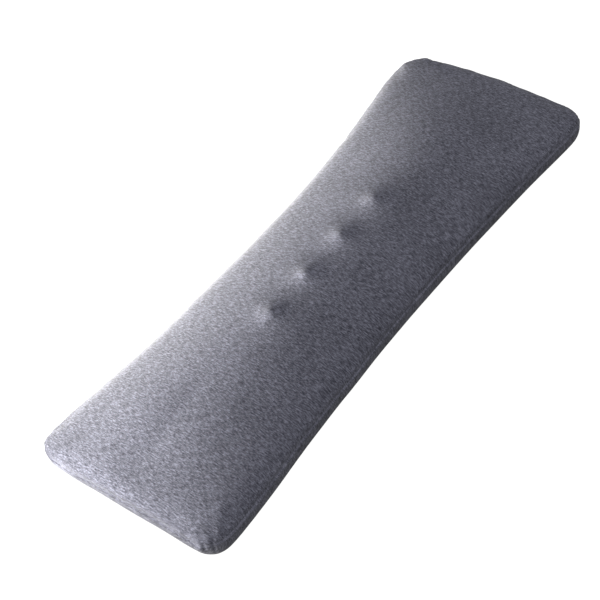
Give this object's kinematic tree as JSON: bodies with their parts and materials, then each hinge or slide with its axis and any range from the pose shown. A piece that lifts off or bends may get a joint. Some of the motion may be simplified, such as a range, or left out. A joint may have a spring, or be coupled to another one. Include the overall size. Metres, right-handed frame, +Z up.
{
  "type": "lumbar support pillow",
  "caption": "Long flat cushion with drawn-in sides, a soft crown and a row of raised bumps along its middle, in a heather knit cover, for support under the lower back.",
  "frame": {"origin": "on the surface it rests on, below the middle of its outline", "axes": "+X along the length towards the wide end, the far one in the picture; +Y across the width towards the side that is far from the camera; +Z up, out of the face with the bumps"},
  "size_m": [0.6231, 0.2243, 0.0577],
  "materials": {
    "cover_knit": "matte heather jersey knit, blue grey, with light and dark fibres in short streaks across the width"
  },
  "bodies": {
    "root": {"pillow": "cover_knit"}
  },
  "joints": []
}
